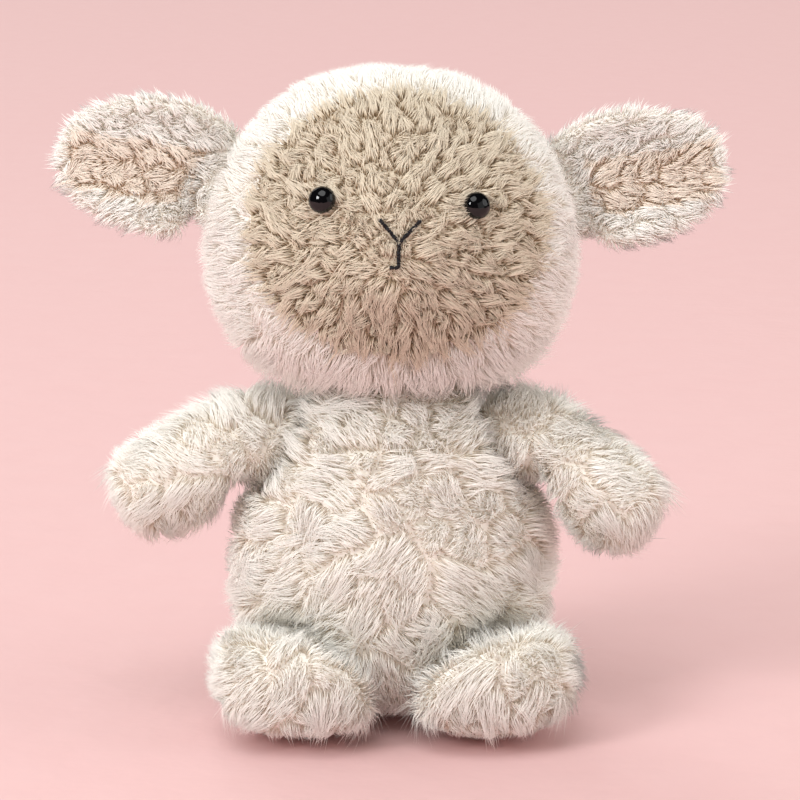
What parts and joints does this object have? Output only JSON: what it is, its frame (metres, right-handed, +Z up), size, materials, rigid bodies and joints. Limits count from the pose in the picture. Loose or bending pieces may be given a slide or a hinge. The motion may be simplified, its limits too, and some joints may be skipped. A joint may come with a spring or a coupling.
{
  "type": "plush lamb",
  "caption": "Sitting plush lamb in long cream pile with a round beige face, cupped side ears, stubby arms and big round feet; head, ears, limbs and tail flex at their seams.",
  "frame": {"origin": "middle of the flat base that the lamb sits on", "axes": "+Z up, the face looks along -Y, +X is the lamb's own left"},
  "size_m": [0.2032, 0.1114, 0.1971],
  "materials": {
    "white_plush": "long cream pile",
    "face_plush": "short beige pile",
    "lining_plush": "short warm cream pile",
    "filling": "white fibre",
    "pouch_cloth": "plain weave",
    "white_thread": "twisted thread",
    "black_thread": "twisted thread",
    "eye_plastic": "polished",
    "washer_plastic": "moulded"
  },
  "bodies": {
    "torso": {"body_front": "white_plush", "body_back_left": "white_plush", "body_back_right": "white_plush", "body_base": "white_plush", "body_stuffing": "filling", "pellet_pouch": "pouch_cloth", "closing_stitch": "white_thread"},
    "neck": {"neck_thread": "white_thread"},
    "head": {"face_panel": "face_plush", "hood_left": "white_plush", "hood_right": "white_plush", "head_stuffing": "filling", "eye_left": "eye_plastic", "eye_right": "eye_plastic", "eye_washer_left": "washer_plastic", "eye_washer_right": "washer_plastic", "nose_stitch_left": "black_thread", "nose_stitch_right": "black_thread", "mouth_stitch": "black_thread", "mouth_corner_stitch": "black_thread"},
    "ear_left": {"ear_left_lining": "lining_plush", "ear_left_outer": "white_plush"},
    "arm_left": {"arm_left_front": "white_plush", "arm_left_back": "white_plush", "arm_left_stuffing": "filling"},
    "leg_left": {"leg_left_upper": "white_plush", "leg_left_sole": "white_plush", "leg_left_stuffing": "filling"},
    "ear_right": {"ear_right_lining": "lining_plush", "ear_right_outer": "white_plush"},
    "arm_right": {"arm_right_front": "white_plush", "arm_right_back": "white_plush", "arm_right_stuffing": "filling"},
    "leg_right": {"leg_right_upper": "white_plush", "leg_right_sole": "white_plush", "leg_right_stuffing": "filling"},
    "tail": {"tail": "white_plush"}
  },
  "joints": [
    {"name": "head_turn", "type": "hinge", "parent": "torso", "child": "neck", "pos_m": [0, 0, 0.086], "axis": [0, 0, 1], "range_deg": [-45, 45], "stiffness_Nm_per_rad": 0.25},
    {"name": "head_nod", "type": "hinge", "parent": "neck", "child": "head", "pos_m": [0, 0, 0.086], "axis": [1, 0, 0], "range_deg": [-10, 10], "stiffness_Nm_per_rad": 0.45},
    {"name": "ear_left_swing", "type": "hinge", "parent": "head", "child": "ear_left", "pos_m": [0.05258, 0.00667, 0.15829], "axis": [0.1729, -0.1625, -0.9714], "range_deg": [-25, 40], "stiffness_Nm_per_rad": 0.03},
    {"name": "ear_right_swing", "type": "hinge", "parent": "head", "child": "ear_right", "pos_m": [-0.05199, 0.00211, 0.16287], "axis": [0.1395, 0.179, 0.9739], "range_deg": [-25, 40], "stiffness_Nm_per_rad": 0.03},
    {"name": "arm_left_raise", "type": "hinge", "parent": "torso", "child": "arm_left", "pos_m": [0.03606, 0, 0.084], "axis": [0, -1, 0], "range_deg": [-6, 25], "stiffness_Nm_per_rad": 0.15},
    {"name": "arm_right_raise", "type": "hinge", "parent": "torso", "child": "arm_right", "pos_m": [-0.03606, 0, 0.084], "axis": [0, 1, 0], "range_deg": [-6, 25], "stiffness_Nm_per_rad": 0.15},
    {"name": "leg_left_lift", "type": "hinge", "parent": "torso", "child": "leg_left", "pos_m": [0.029, -0.02372, 0.02], "axis": [-1, 0, 0], "range_deg": [0, 25], "stiffness_Nm_per_rad": 0.15},
    {"name": "leg_right_lift", "type": "hinge", "parent": "torso", "child": "leg_right", "pos_m": [-0.029, -0.02372, 0.02], "axis": [-1, 0, 0], "range_deg": [0, 25], "stiffness_Nm_per_rad": 0.15},
    {"name": "tail_lift", "type": "hinge", "parent": "torso", "child": "tail", "pos_m": [0, 0.03784, 0.034], "axis": [1, 0, 0], "range_deg": [-10, 25], "stiffness_Nm_per_rad": 0.01}
  ]
}
